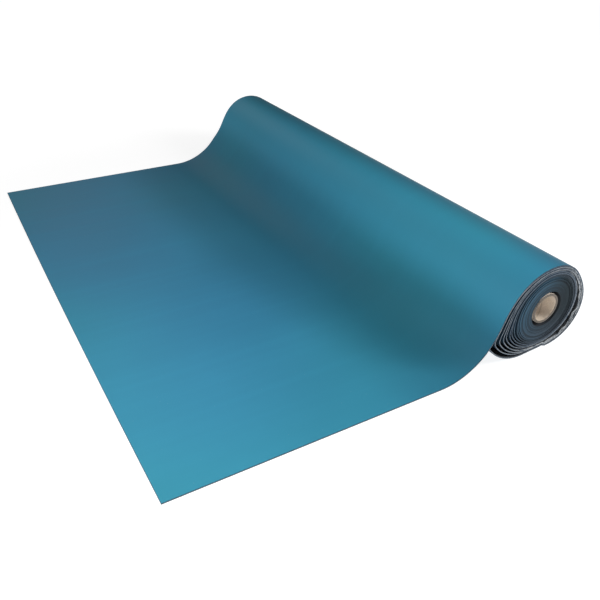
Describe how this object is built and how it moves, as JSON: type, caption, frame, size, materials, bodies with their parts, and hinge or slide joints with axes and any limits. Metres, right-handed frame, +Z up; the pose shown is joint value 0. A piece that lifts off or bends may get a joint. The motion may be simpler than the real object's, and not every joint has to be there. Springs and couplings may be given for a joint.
{
  "type": "roll of two-layer vinyl sheet",
  "caption": "Wide roll of teal vinyl sheet with a dark backing on a cardboard tube, its free end pulled out flat over the floor, slack outer turns sagging.",
  "frame": {"origin": "on the floor under the middle of the whole object, from the free edge to the back of the roll", "axes": "+X along the roll, +Y from the free edge towards the roll, +Z up"},
  "size_m": [1.2, 0.8358, 0.1788],
  "materials": {
    "face_vinyl": "satin",
    "backing_vinyl": "matte",
    "tube_board": "matte",
    "tape": "satin"
  },
  "bodies": {
    "resting_roll": {"rise_face": "face_vinyl", "rise_backing": "backing_vinyl", "outer_turns_face": "face_vinyl", "outer_turns_backing": "backing_vinyl"},
    "free_end": {"laid_face": "face_vinyl", "laid_backing": "backing_vinyl"},
    "winding": {"wound_face": "face_vinyl", "wound_backing": "backing_vinyl", "core_tube": "tube_board", "start_tape": "tape"}
  },
  "joints": [
    {"name": "roll_turn", "type": "hinge", "parent": "resting_roll", "child": "winding", "pos_m": [0, 0.31712, 0.09023], "axis": [1, 0, 0], "range_deg": [0, 360]},
    {"name": "pull_out", "type": "slide", "parent": "resting_roll", "child": "free_end", "axis": [0, -1, 0], "range_m": [0, 0.56]}
  ],
  "couplings": [
    {"joint": "pull_out", "follows": "roll_turn", "m_per_rad": 0.0885}
  ]
}
